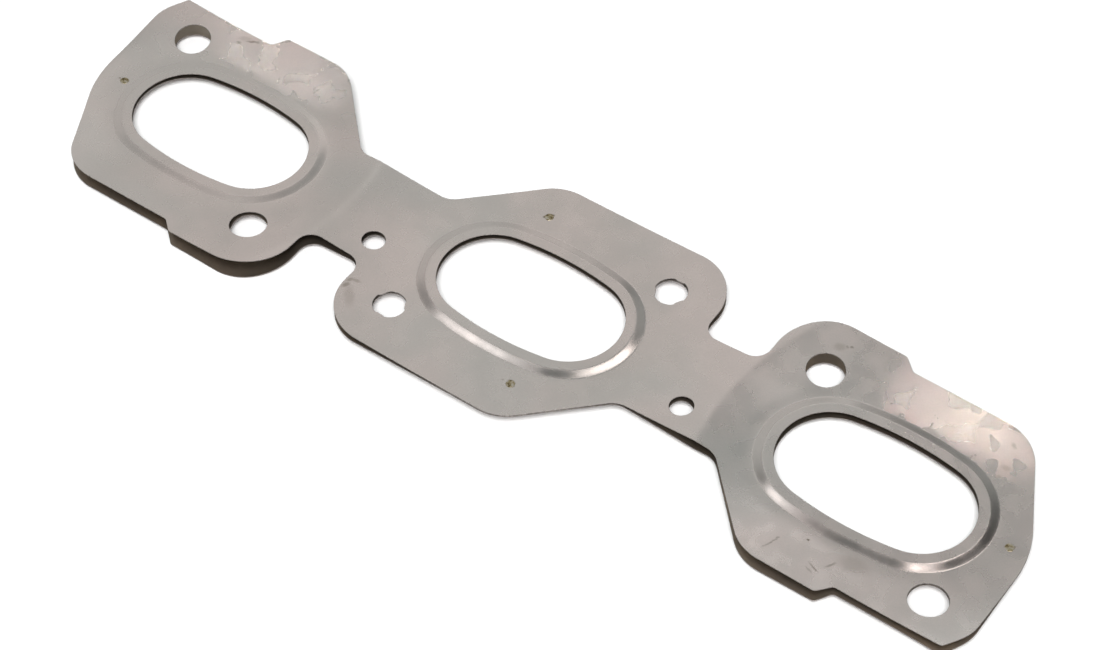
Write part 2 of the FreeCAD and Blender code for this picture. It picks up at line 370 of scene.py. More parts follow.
@dataclass
class GasketPlan:
    """Everything that both sheets share when seen from above."""

    ports: tuple[PortOval, ...] = (PortOval(-100.0), PortOval(0.0), PortOval(100.0))
    end_stud_diameter: float = 9.7
    centre_stud_diameter: float = 8.5
    stud_x: float = 27.4
    stud_y: float = 21.6
    small_holes: Pairs = ((-43.5, -7.3), (50.1, -7.3))
    small_diameter: float = 6.1
    outline: FlangeOutline = field(default_factory=FlangeOutline)
    spread: SheetSpread = field(default_factory=SheetSpread)
    bead: PortBead = field(default_factory=PortBead)

    def holes(self, lugs: bool) -> list[RoundHole]:
        """List all round holes.

        Args:
            lugs: whether the two centre stud holes get their lugs.

        Returns:
            The stud holes, then the small holes.
        """
        made = []
        for side in (-1, 1):
            x, y = side * self.stud_x, side * self.stud_y
            angles = tuple(math.radians(side * 90.0 + 120.0 * i) for i in range(3)) if lugs else ()
            made.append(RoundHole(x, y, self.centre_stud_diameter, angles))
            for port in (self.ports[0].centre_x, self.ports[2].centre_x):
                made.append(RoundHole(port + x, -y, self.end_stud_diameter))
        return made + [RoundHole(x, y, self.small_diameter) for x, y in self.small_holes]

    def height(self, xy: Array) -> Array:
        """Height of a sheet's inner face above the middle plane, beads included.

        Args:
            xy: rows (x, y).

        Returns:
            One height per point.
        """
        rise = self.spread.lift(xy)
        for port, height in zip(self.ports, self.bead.heights):
            rise = rise + height * self.bead.share(port.distance(xy))
        return rise

    def pressing(self, xy: Array) -> Array:
        """Tell where the sheet is pressed to a slope.

        Args:
            xy: rows (x, y).

        Returns:
            One on a bead's slope and nought away from it.
        """
        result = np.zeros(len(xy))
        for port in self.ports:
            share = self.bead.share(port.distance(xy))
            result = result + 4.0 * share * (1.0 - share)
        return np.clip(result, 0.0, 1.0)

    def normals(self, xy: Array) -> Array:
        """Normals of the sheet's upper face.

        Args:
            xy: rows (x, y).

        Returns:
            Unit normals that point up, one row per point.
        """
        step = 0.02
        slope_x = self.height(xy + [step, 0.0]) - self.height(xy - [step, 0.0])
        slope_y = self.height(xy + [0.0, step]) - self.height(xy - [0.0, step])
        normal = np.stack([-slope_x, -slope_y, np.full(len(xy), 2.0 * step)], 1)
        return normal / np.linalg.norm(normal, axis=1)[:, None]


def inward_normals(loop: Array) -> Array:
    """Directions into the sheet along a loop.

    Args:
        loop: rows (x, y), with the sheet on the left.

    Returns:
        One unit direction per point.
    """
    along = np.roll(loop, -1, 0) - np.roll(loop, 1, 0)
    along = along / np.linalg.norm(along, axis=1)[:, None]
    return np.stack([-along[:, 1], along[:, 0]], 1)


def inside_loop(points: Array, loop: Array) -> Array:
    """Which points lie inside a closed loop, by counting crossings.

    Args:
        points: rows (x, y) to test.
        loop: rows (x, y) of the closed loop.

    Returns:
        One truth value per point.
    """
    inside = np.zeros(len(points), bool)
    x, y = points[:, 0], points[:, 1]
    for (x0, y0), (x1, y1) in zip(loop, np.roll(loop, -1, 0)):
        if y0 == y1:
            continue
        crosses = (y0 > y) != (y1 > y)
        inside ^= crosses & (x < (x1 - x0) * (y - y0) / (y1 - y0) + x0)
    return inside


def on_sheet(points: Array, loops: list[Array]) -> Array:
    """Which points lie inside the outline and outside every opening.

    Args:
        points: rows (x, y) to test.
        loops: the outline, then the openings.

    Returns:
        One truth value per point.
    """
    keep = inside_loop(points, loops[0])
    for loop in loops[1:]:
        keep &= ~inside_loop(points, loop)
    return keep


@dataclass
class PressedSheet:
    """One of the two sheets, built as a closed mesh with rolled cut edges. Millimetres.

    Its finishes are those of the outer face, the cut edges and the inner face.
    """

    plan: GasketPlan
    side: Side
    node: str
    slot: str
    finishes: list[Material]
    grid: float = 1.3
    edge_roll: float = 0.05
    clear_share: float = 0.55
    merge_distance: float = 1e-6
    vertices: list[Array] = field(default_factory=list)
    normals: list[Array] = field(default_factory=list)
    faces: list[tuple[int, ...]] = field(default_factory=list)
    skins: list[Skin] = field(default_factory=list)
    count: int = 0

    def add_points(self, xy: Array, z: Array, normal: Array) -> Array:
        """Store a batch of vertices with their normals.

        Args:
            xy: rows (x, y) in the plan.
            z: heights above the middle plane.
            normal: unit normals, one row per vertex.

        Returns:
            The indices that the vertices got.
        """
        self.vertices.append(np.column_stack([xy, z]))
        self.normals.append(normal)
        first = self.count
        self.count += len(xy)
        return np.arange(first, self.count)

    def add_face(self, corners: tuple[int, ...], skin: Skin) -> None:
        """Store one face and the part of the sheet that it belongs to."""
        self.faces.append(tuple(int(i) for i in corners))
        self.skins.append(skin)

    def add_face_pair(self, outer: Array, inner: Array, cells: list) -> None:
        """Add the same cells to the outer face and, turned over, to the inner face.

        Args:
            outer: vertex indices of the outer face.
            inner: vertex indices of the inner face.
            cells: places in both, corner by corner.
        """
        for cell in cells:
            self.add_face(tuple(outer[i] for i in cell), Skin.OUTER)
            self.add_face(tuple(inner[i] for i in reversed(cell)), Skin.INNER)

    def skin_points(self, xy: Array) -> tuple[Array, Array]:
        """Add outer and inner vertices at the same places in the plan.

        Args:
            xy: rows (x, y).

        Returns:
            The vertex indices of the outer face and of the inner face.
        """
        low = self.plan.height(xy)
        normal = self.plan.normals(xy)
        outer = self.add_points(xy, low + self.plan.spread.thickness, normal)
        inner = self.add_points(xy, low, -normal)
        return outer, inner

    def add_rim(self, loop: Array, outer: Array, inner: Array) -> None:
        """Close the cut edge between the outer and inner face along one loop.

        Args:
            loop: the true edge, rows (x, y), with the sheet on its left.
            outer: vertex indices of the outer face's border.
            inner: vertex indices of the inner face's border.
        """
        into = inward_normals(loop)
        roll = self.edge_roll
        low = self.plan.height(loop)
        high = low + self.plan.spread.thickness
        slant = math.sqrt(0.5)
        flat = np.zeros(len(loop))
        wall = np.column_stack([-into, flat])
        shoulder = np.column_stack([-into * slant, flat + slant])
        heel = np.column_stack([-into * slant, flat - slant])
        shift = loop + into * roll * (1.0 - slant)
        drop = roll * (1.0 - slant)
        bands = [
            outer,
            self.add_points(shift, high - drop, shoulder),
            self.add_points(loop, high - roll, wall),
            self.add_points(loop, low + roll, wall),
            self.add_points(shift, low + drop, heel),
            inner,
        ]
        size = len(loop)
        for upper, under in zip(bands, bands[1:]):
            for i in range(size):
                j = (i + 1) % size
                self.add_face((upper[i], under[i], under[j], upper[j]), Skin.EDGE)

    def build_port_band(self, port: PortOval) -> Array:
        """Lay rings of quads from a port's edge to just past its bead.

        Args:
            port: the opening to go round.

        Returns:
            The outermost ring's points, outer and inner indices side by side.
        """
        offsets = (self.edge_roll,) + self.plan.bead.stations
        rings = [self.skin_points(port.loop(offset)) for offset in offsets]
        size = len(rings[0][0])
        cells = [(i, (i + 1) % size, size + (i + 1) % size, size + i) for i in range(size)]
        for ring, ring_next in zip(rings, rings[1:]):
            outer, inner = (np.concatenate(pair) for pair in zip(ring, ring_next))
            self.add_face_pair(outer, inner, cells)
        self.add_rim(port.loop(0.0), *rings[0])
        return np.column_stack(rings[-1])

    def build_field(self, borders: list[tuple[Array, Array]]) -> None:
        """Fill the sheet between its border loops with even triangles.

        Args:
            borders: each loop's points and its outer and inner vertex indices, outline first.
        """
        loops = [loop for loop, _ in borders]
        border_points = np.concatenate(loops)
        reach_x = np.abs(border_points[:, 0]).max()
        reach_y = np.abs(border_points[:, 1]).max()
        rows = np.arange(-reach_y, reach_y, self.grid * math.sqrt(0.75))
        lines = []
        for i, y in enumerate(rows):
            xs = np.arange(-reach_x, reach_x, self.grid) + 0.5 * self.grid * (i % 2)
            lines.append(np.column_stack([xs, np.full(len(xs), y)]))
        grid = np.concatenate(lines)
        grid = grid[on_sheet(grid, loops)]
        clear = self.clear_share * self.grid
        grid = grid[[np.hypot(*(border_points - point).T).min() > clear for point in grid]]
        points = np.concatenate([border_points, grid])
        edges = []
        start = 0
        for loop in loops:
            size = len(loop)
            edges += [(start + i, start + (i + 1) % size) for i in range(size)]
            start += size
        places = [Vector(point) for point in points]
        made = delaunay_2d_cdt(places, edges, [], 0, self.merge_distance)
        source = [origin[0] if origin else -1 for origin in made[3]]
        triangles = np.array([[source[i] for i in triangle] for triangle in made[2]])
        triangles = triangles[on_sheet(points[triangles].mean(1), loops)]
        outer_grid, inner_grid = self.skin_points(grid)
        outer = np.concatenate([ids[:, 0] for _, ids in borders] + [outer_grid])
        inner = np.concatenate([ids[:, 1] for _, ids in borders] + [inner_grid])
        self.add_face_pair(outer, inner, triangles.tolist())

    def build(self) -> bpy.types.Object:
        """Build the sheet, dress it and put it in place of its plain solid.

        Returns:
            The finished object.
        """
        borders: list[tuple[Array, Array]] = []
        edges = [self.plan.outline.loop()]
        edges += [hole.loop() for hole in self.plan.holes(self.side is Side.UPPER)]
        for edge in edges:
            inset = edge + inward_normals(edge) * self.edge_roll
            outer, inner = self.skin_points(inset)
            self.add_rim(edge, outer, inner)
            borders.append((inset, np.column_stack([outer, inner])))
        for port in self.plan.ports:
            ids = self.build_port_band(port)
            borders.append((port.loop(self.plan.bead.stations[-1]), ids))
        self.build_field(borders)
        return self.finish_object()

    def finish_object(self) -> bpy.types.Object:
        """Turn the stored points and faces into an object that rides on the frame.

        Returns:
            The finished object.
        """
        turn = np.array([1.0, 1.0, self.side.value])
        vertices = np.concatenate(self.vertices) * turn * MM
        normals = np.concatenate(self.normals) * turn
        faces = self.faces if self.side is Side.UPPER else [face[::-1] for face in self.faces]
        mesh = bpy.data.meshes.new(self.node + "_pressed")
        mesh.from_pydata(vertices.tolist(), [], faces)
        for finish in self.finishes:
            mesh.materials.append(finish)
        mesh.polygons.foreach_set("material_index", [skin.value for skin in self.skins])
        mesh.shade_smooth()
        mesh.normals_split_custom_set_from_vertices(normals.tolist())
        pressing = mesh.attributes.new("pressing", "FLOAT", "POINT")
        pressing.data.foreach_set("value", self.plan.pressing(np.concatenate(self.vertices)[:, :2]))
        sheet = add_object(self.node + "_pressed", mesh)
        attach(sheet, "root")
        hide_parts(self.node)
        return sheet


@dataclass
class WeldNuggets:
    """The four spot welds, each a low dome with a pressed rim on both sheets. Millimetres."""

    finish: Material
    spread: SheetSpread = field(default_factory=SheetSpread)
    radius: float = 1.2
    crown: float = 0.055
    segments: int = 40
    unevenness: float = 0.03

    def profile(self) -> list[tuple[float, float]]:
        """Radius and height over the sheet, from the side to the middle of the top."""
        return [
            (1.0, -0.15), (1.0, 0.2), (0.96, 0.75), (0.86, 1.0), (0.74, 0.8), (0.62, 0.42),
            (0.45, 0.3), (0.25, 0.38), (0.1, 0.42),
        ]

    def build(self) -> bpy.types.Object:
        """Build the four welds as one piece in place of their plain solid.

        Returns:
            The finished object.
        """
        vertices: list[Triple] = []
        faces: list[tuple[int, ...]] = []
        sheet_top = 0.5 * self.spread.gap + self.spread.thickness
        for index, (x, y, _) in enumerate(self.spread.welds):
            rings = [(r * self.radius, sheet_top + h * self.crown) for r, h in self.profile()]
            rings = [(r, -z) for r, z in reversed(rings)] + rings
            start = len(vertices)
            for radius, z in rings:
                for i in range(self.segments):
                    angle = 2.0 * math.pi * i / self.segments
                    wave = math.sin(3.0 * angle + index) * math.cos(2.0 * angle - index)
                    reach = radius * (1.0 - self.unevenness * (1.0 + wave))
                    vertices.append((x + reach * math.cos(angle), y + reach * math.sin(angle), z))
            for ring in range(len(rings) - 1):
                for i in range(self.segments):
                    j = (i + 1) % self.segments
                    low, high = start + ring * self.segments, start + (ring + 1) * self.segments
                    faces.append((low + i, low + j, high + j, high + i))
            last = start + (len(rings) - 1) * self.segments
            faces.append(tuple(range(last, last + self.segments)))
            faces.append(tuple(reversed(range(start, start + self.segments))))
        mesh = bpy.data.meshes.new("spot_welds_domed")
        mesh.from_pydata((np.array(vertices) * MM).tolist(), [], faces)
        mesh.materials.append(self.finish)
        mesh.shade_smooth()
        welds = add_object("spot_welds_domed", mesh)
        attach(welds, "root")
        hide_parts("spot_welds")
        return welds


class FinishGraph:
    """Short calls that lay out one material's nodes."""

    # A mark grows from nought to full between these two shares of its half size.
    SPOT_FADE = (1.25, 0.35)

    def __init__(self, name: str) -> None:
        """Start a material with only its surface shader and output.

        Args:
            name: the material's name.
        """
        self.material = bpy.data.materials.new(name)
        self.material.use_nodes = True
        self.tree = self.material.node_tree
        self.shader = self.tree.nodes["Principled BSDF"]
        self.place = self.add("TexCoord").outputs["Object"]

    def add(self, kind: str, inputs: dict | None = None, **settings: str) -> bpy.types.Node:
        """Add a node to this material, as add_node does."""
        return add_node(self.tree, kind, inputs, **settings)

    def mesh_value(self, name: str) -> Socket:
        """Read a value that the mesh carries at its points."""
        return self.add("Attribute", attribute_name=name).outputs["Fac"]

    def noise(self, scale: float, detail: float = 3.0, stretch: Triple | None = None,
              roughness: float = 0.5) -> Socket:
        """Add a noise texture.

        Args:
            scale: features per metre.
            detail: octaves of finer noise.
            stretch: factor per axis, for a grain.
            roughness: weight of the finer octaves.

        Returns:
            The noise's value.
        """
        source = self.place
        if stretch is not None:
            source = self.add("Mapping", {"Vector": source, "Scale": stretch}).outputs["Vector"]
        inputs = {"Vector": source, "Scale": scale, "Detail": detail, "Roughness": roughness}
        return self.add("TexNoise", inputs).outputs["Fac"]

    def math(self, operation: str, first: Socket | float, second: Socket | float) -> Socket:
        """Add one step of arithmetic and return its result."""
        return self.add("Math", {0: first, 1: second}, operation=operation).outputs[0]

    def span(self, value: Socket, low: float, high: float, full: float = 1.0) -> Socket:
        """Map a range to one from nought up, smoothly and clamped.

        Args:
            value: what to map.
            low, high: ends of its range.
            full: the result at the range's end.

        Returns:
            The mapped value.
        """
        inputs = {"Value": value, "From Min": low, "From Max": high, "To Max": full}
        node = self.add("MapRange", inputs, interpolation_type="SMOOTHSTEP")
        return node.outputs["Result"]

    def blend(self, amount: Socket | float, first: Socket | Colour,
              second: Socket | Colour) -> Socket:
        """Blend from the first colour to the second by the given amount."""
        ends = [end if isinstance(end, Socket) else (*end, 1.0) for end in (first, second)]
        return self.add("Mix", {0: amount, 6: ends[0], 7: ends[1]}, data_type="RGBA").outputs[2]

    def ragged_place(self, scale: float, amount: float) -> Socket:
        """Object coordinates pushed about by noise, so that marks get uneven edges.

        Args:
            scale: features per metre.
            amount: width of the push, in metres.

        Returns:
            The coordinates.
        """
        noise = self.add("TexNoise", {"Vector": self.place, "Scale": scale, "Detail": 3.0})
        inputs = {0: noise.outputs["Color"], 1: (amount,) * 3, 2: self.place}
        shift = self.add("VectorMath", inputs, operation="MULTIPLY_ADD")
        inputs = {0: shift.outputs[0], 1: (-0.5 * amount,) * 3}
        return self.add("VectorMath", inputs, operation="ADD").outputs[0]

    def spot(self, mark: "SheetMark", place: Socket) -> Socket:
        """Soft-edged oval at a mark's place.

        Args:
            mark: where the mark lies and how large it is.
            place: coordinates to read.

        Returns:
            A value from nought outside to the mark's strength in its middle.
        """
        half_size = (0.5 * mark.length * MM, 0.5 * mark.width * MM, 1.0)
        inputs = {"Vector": place, "Location": (mark.x * MM, mark.y * MM, 0.0),
                  "Rotation": (0.0, 0.0, math.radians(mark.angle)), "Scale": half_size}
        mapping = self.add("Mapping", inputs, vector_type="TEXTURE")
        reach = self.add("VectorMath", {0: mapping.outputs["Vector"]}, operation="LENGTH")
        return self.span(reach.outputs["Value"], *self.SPOT_FADE, mark.strength)

    def marks(self, marks: "tuple[SheetMark, ...]", trace: Trace, place: Socket) -> Socket | float:
        """Join all marks of one kind to one mask.

        Args:
            marks: marks of every kind.
            trace: the kind to join.
            place: coordinates to read.

        Returns:
            The strongest mark at each place, or nought where there is none of that kind.
        """
        parts = [self.spot(mark, place) for mark in marks if mark.trace is trace]
        result = parts[0] if parts else 0.0
        for part in parts[1:]:
            result = self.math("MAXIMUM", result, part)
        return result

    def gain(self, mask: Socket | float, share: float, base: Socket | float) -> Socket:
        """Raise a value by a share of a mask."""
        return self.math("ADD", self.math("MULTIPLY", mask, share), base)

    def bump(self, height: Socket, strength: float, distance: float,
             under: Socket | None = None) -> Socket:
        """Add a bump.

        Args:
            height: the relief.
            strength: how much of it counts.
            distance: its depth, in metres.
            under: the normal that it lies on.

        Returns:
            The bumped normal.
        """
        inputs = {"Height": height, "Strength": strength, "Distance": distance}
        if under is not None:
            inputs["Normal"] = under
        return self.add("Bump", inputs).outputs["Normal"]

    def metal(self, colour: Socket, rough: Socket, normal: Socket | None = None) -> Material:
        """Dress the shader as bare metal.

        Args:
            colour: the base colour.
            rough: the roughness.
            normal: the bumped normal, if there is one.

        Returns:
            The finished material.
        """
        self.shader.inputs["Metallic"].default_value = 1.0
        sources = {"Base Color": colour, "Roughness": rough, "Normal": normal}
        for name, source in sources.items():
            if source is not None:
                self.tree.links.new(source, self.shader.inputs[name])
        return self.material


@dataclass(frozen=True)
class SheetMark:
    """One small trace on a sheet, seen from above. Millimetres and degrees."""

    trace: Trace
    x: float
    y: float
    length: float
    width: float
    angle: float
    strength: float


@dataclass(frozen=True)
class RolledSteel:
    """Satin rolled stainless steel with a faint grain, cloudy patches and its own marks."""

    name: str
    colour: Colour = (0.78, 0.665, 0.635)
    cloud_colour: Colour = (0.685, 0.605, 0.575)
    cool_colour: Colour = (0.67, 0.635, 0.61)
    speckle_colour: Colour = (0.40, 0.39, 0.37)
    rub_colour: Colour = (0.25, 0.20, 0.155)
    heat_colour: Colour = (0.16, 0.12, 0.06)
    scratch_colour: Colour = (0.70, 0.69, 0.67)
    cool_share: float = 0.55
    speckle_share: float = 0.10
    cloud_scale: float = 42.0
    cool_scale: float = 19.0
    speckle_scale: float = 2600.0
    grain_scale: float = 900.0
    grain_stretch: Triple = (0.12, 2.2, 1.0)
    grain_strength: float = 0.10
    grain_depth: float = 0.00002
    ragged_scale: float = 900.0
    ragged_width: float = 0.0009
    wear_scale: float = 160.0
    wave_scale: float = 24.0
    wave_depth: float = 0.00006
    roughness: float = 0.25
    pressed_roughness: float = 0.14
    wear_roughness: float = 0.06
    heat_roughness: float = 0.2
    rub_roughness: float = 0.08
    anisotropy: float = 0.25
    marks: tuple[SheetMark, ...] = ()

    def material(self) -> Material:
        """Lay out the nodes of this finish.

        Returns:
            The finished material.
        """
        graph = FinishGraph(self.name)
        clouds = graph.span(graph.noise(self.cloud_scale, 4.0), 0.35, 0.68)
        base = graph.blend(clouds, self.colour, self.cloud_colour)
        cool = graph.span(graph.noise(self.cool_scale, 3.0), 0.42, 0.66)
        base = graph.blend(graph.math("MULTIPLY", cool, self.cool_share), base, self.cool_colour)
        fine = graph.span(graph.noise(self.speckle_scale, 2.0), 0.3, 0.7)
        fine = graph.math("MULTIPLY", fine, self.speckle_share)
        base = graph.blend(fine, base, self.speckle_colour)
        ragged = graph.ragged_place(self.ragged_scale, self.ragged_width)
        heat = graph.marks(self.marks, Trace.HEAT, ragged)
        rub = graph.marks(self.marks, Trace.RUB, ragged)
        scratch = graph.marks(self.marks, Trace.SCRATCH, graph.place)
        base = graph.blend(rub, base, self.rub_colour)
        base = graph.blend(heat, base, self.heat_colour)
        base = graph.blend(scratch, base, self.scratch_colour)
        wear = graph.span(graph.noise(self.wear_scale, 3.0), 0.3, 0.7)
        flat = graph.math("SUBTRACT", 1.0, graph.mesh_value("pressing"))
        rough = graph.gain(flat, self.roughness - self.pressed_roughness, self.pressed_roughness)
        rough = graph.gain(wear, self.wear_roughness, rough)
        rough = graph.gain(heat, self.heat_roughness, rough)
        rough = graph.gain(rub, self.rub_roughness, rough)
        graph.shader.inputs["Anisotropic"].default_value = self.anisotropy
        waves = graph.bump(graph.noise(self.wave_scale, 0.0), 1.0, self.wave_depth)
        grain = graph.noise(self.grain_scale, 3.0, self.grain_stretch)
        lines = graph.bump(grain, self.grain_strength, self.grain_depth, waves)
        return graph.metal(base, rough, lines)


@dataclass(frozen=True)
class SheetEdge:
    """Sheared edge of a sheet: darker and rougher than its faces, with upright tear lines."""

    name: str
    colour: Colour = (0.33, 0.30, 0.28)
    torn_colour: Colour = (0.20, 0.18, 0.17)
    roughness: float = 0.45
    torn_roughness: float = 0.15
    tear_scale: float = 4000.0
    tear_stretch: Triple = (1.0, 1.0, 0.08)
    tear_strength: float = 0.4
    tear_depth: float = 0.00003

    def material(self) -> Material:
        """Lay out the nodes of this finish.

        Returns:
            The finished material.
        """
        graph = FinishGraph(self.name)
        tears = graph.noise(self.tear_scale, 2.0, self.tear_stretch)
        torn = graph.span(tears, 0.38, 0.62)
        base = graph.blend(torn, self.colour, self.torn_colour)
        rough = graph.gain(torn, self.torn_roughness, self.roughness)
        return graph.metal(base, rough, graph.bump(tears, self.tear_strength, self.tear_depth))


@dataclass(frozen=True)
class InnerSteelPaintedShade:
    """Inner face of a sheet: dull and dark brown with darker mottling, painted shade for the gap
    between the sheets, seen only through the gap.
    """

    name: str
    # The dark brown base and its darker mottle are painted shade that stands in for the shade in
    # the gap between the sheets.
    colour: Colour = (0.36, 0.305, 0.25)
    painted_shade_mottle_colour: Colour = (0.22, 0.18, 0.145)
    roughness: float = 0.36
    shade_mottle_roughness: float = 0.1
    shade_mottle_scale: float = 60.0

    def material(self) -> Material:
        """Lay out the nodes of this finish.

        Returns:
            The finished material.
        """
        graph = FinishGraph(self.name)
        # Darker mottle laid over the painted shade.
        painted_shade_mottle = graph.span(graph.noise(self.shade_mottle_scale, 4.0), 0.35, 0.65)
        base = graph.blend(painted_shade_mottle, self.colour, self.painted_shade_mottle_colour)
        return graph.metal(base, graph.gain(painted_shade_mottle, self.shade_mottle_roughness, self.roughness))


@dataclass(frozen=True)
class HeatTint:
    """Steel of a spot weld, with straw tint and small olive-brown specks."""

    name: str = "heat_tinted_weld"
    colour: Colour = (0.58, 0.53, 0.46)
    straw_colour: Colour = (0.42, 0.34, 0.21)
    dark_colour: Colour = (0.13, 0.10, 0.05)
    roughness: float = 0.34
    burnt_roughness: float = 0.2
    blotch_scale: float = 1100.0
    blotch_strength: float = 0.5
    blotch_depth: float = 0.00004

    def material(self) -> Material:
        """Lay out the nodes of this finish.

        Returns:
            The finished material.
        """
        graph = FinishGraph(self.name)
        blotches = graph.noise(self.blotch_scale, 3.0, roughness=0.6)
        burnt = graph.span(blotches, 0.53, 0.66)
        straw = graph.blend(graph.span(blotches, 0.38, 0.56), self.colour, self.straw_colour)
        base = graph.blend(burnt, straw, self.dark_colour)
        rough = graph.gain(burnt, self.burnt_roughness, self.roughness)
        relief = graph.bump(blotches, self.blotch_strength, self.blotch_depth)
        return graph.metal(base, rough, relief)


@dataclass(frozen=True)
class PaleBoard:
    """Matt white studio board with barely visible unevenness."""

    name: str = "pale_board"
    colour: Colour = (0.93, 0.93, 0.93)
    shade: Colour = (0.90, 0.90, 0.90)
    scale: float = 6.0
    roughness: float = 0.9
    gloss: float = 0.1

    def material(self) -> Material:
        """Lay out the nodes of this finish.

        Returns:
            The finished material.
        """
        graph = FinishGraph(self.name)
        uneven = graph.span(graph.noise(self.scale, 2.0), 0.35, 0.65)
        inputs = graph.shader.inputs
        graph.tree.links.new(graph.blend(uneven, self.colour, self.shade), inputs["Base Color"])
        inputs["Roughness"].default_value = self.roughness
        inputs["Specular IOR Level"].default_value = self.gloss
        return graph.material


@dataclass(frozen=True)
class SoftBox:
    """One oblong studio light that looks at the gasket. Metres and degrees."""

    name: str
    azimuth: float
    elevation: float
    distance: float
    width: float
    height: float
    brightness: float
    colour: Colour = (1.0, 1.0, 1.0)

    def build(self) -> None:
        """Hang the light at its place, turned towards the gasket."""
        lamp = bpy.data.lights.new(self.name, "AREA")
        lamp.shape = "RECTANGLE"
        lamp.size, lamp.size_y = self.width, self.height
        lamp.energy = self.brightness * math.pi * self.width * self.height
        lamp.color = self.colour
        turn, tilt = math.radians(self.azimuth), math.radians(self.elevation)
        level = math.cos(tilt)
        way = Vector((level * math.cos(turn), level * math.sin(turn), math.sin(tilt)))
        light = add_object(self.name, lamp)
        light.location = way * self.distance
        light.rotation_euler = way.to_track_quat("Z", "Y").to_euler()


@dataclass(frozen=True)
class SnootLamp:
    """A small lamp with a narrow beam on one patch.

    The aim and the patch's half sizes are in millimetres, the reach and radius in metres.
    """

    name: str
    aim: tuple[float, float]
    way: Triple
    patch: tuple[float, float]
    power: float
    colour: Colour = (1.0, 1.0, 1.0)
    reach: float = 1.1
    radius: float = 0.006
    beam_blend: float = 0.7

    def build(self) -> None:
        """Hang the lamp at its place, turned towards its patch."""
        lamp = bpy.data.lights.new(self.name, "SPOT")
        lamp.energy = self.power
        lamp.color = self.colour
        lamp.shadow_soft_size = self.radius
        lamp.spot_size = 2.0 * math.atan(self.patch[1] * MM / self.reach)
        lamp.spot_blend = self.beam_blend
        way = Vector(self.way).normalized()
        across = (Vector((1.0, 0.0, 0.0)) - way * way.x).normalized()
        turn = Matrix((across, way.cross(across), way)).transposed().to_4x4()
        place = Vector((self.aim[0] * MM, self.aim[1] * MM, 0.0)) + way * self.reach
        stretch = Matrix.Diagonal((self.patch[0] / self.patch[1], 1.0, 1.0, 1.0))
        light = add_object(self.name, lamp)
        light.matrix_world = Matrix.Translation(place) @ turn @ stretch


@dataclass(frozen=True)
class StudioAir:
    """Light from all round: it fades from the left wall to the right, pale at the horizon."""

    name: str = "studio_air"
    across: Pairs = (
        (-0.74, 0.58), (-0.62, 0.58), (-0.52, 0.58), (-0.46, 0.62), (-0.42, 0.80), (-0.38, 0.80),
        (-0.32, 0.50), (-0.24, 0.31), (-0.17, 0.42), (-0.08, 0.44), (0.0, 0.38), (0.09, 0.18),
        (0.19, 0.06),
    )
    along: Pairs = ((0.18, 0.5), (0.30, 1.0), (0.72, 1.0), (0.86, 0.8))
    warm: Colour = (1.0, 0.985, 0.97)
    cool: Colour = (0.95, 1.0, 0.99)
    horizon: float = 0.9
    horizon_foot: float = 0.066
    horizon_top: float = 0.22
    warm_end: float = -0.3

    def ramp(self, tree: bpy.types.NodeTree, source: Socket, stops: Pairs) -> Socket:
        """Turn one component of the direction into a level of light.

        Args:
            tree: the world's nodes.
            source: the component, from minus one to one.
            stops: pairs of component and level.

        Returns:
            The level as a colour, warm on the left and cool on the right.
        """
        span = add_node(tree, "MapRange", {"Value": source, "From Min": -1.0})
        ramp = add_node(tree, "ValToRGB", {"Fac": span.outputs["Result"]})
        while len(ramp.color_ramp.elements) < len(stops):
            ramp.color_ramp.elements.new(0.5)
        for stop, (component, level) in zip(ramp.color_ramp.elements, stops):
            tint = self.warm if component < self.warm_end else self.cool
            stop.position = 0.5 + 0.5 * component
            stop.color = (level * tint[0], level * tint[1], level * tint[2], 1.0)
        return ramp.outputs["Color"]

    def build(self) -> bpy.types.World:
        """Lay out the light by direction.

        Returns:
            The finished world.
        """
        world = bpy.data.worlds.new(self.name)
        world.use_nodes = True
        tree = world.node_tree
        way = add_node(tree, "TexCoord").outputs["Generated"]
        parts = add_node(tree, "SeparateXYZ", {0: way}).outputs
        inputs = {0: self.ramp(tree, parts["X"], self.across),
                  1: self.ramp(tree, parts["Y"], self.along)}
        wall = add_node(tree, "VectorMath", inputs, operation="MULTIPLY")
        inputs = {"Value": parts["Z"], "From Min": self.horizon_foot, "From Max": self.horizon_top}
        height = add_node(tree, "MapRange", inputs, interpolation_type="SMOOTHSTEP")
        inputs = {0: height.outputs["Result"], 6: (*[self.horizon] * 3, 1.0), 7: wall.outputs[0]}
        mix = add_node(tree, "Mix", inputs, data_type="RGBA")
        tree.links.new(mix.outputs[2], tree.nodes["Background"].inputs["Color"])
        return world


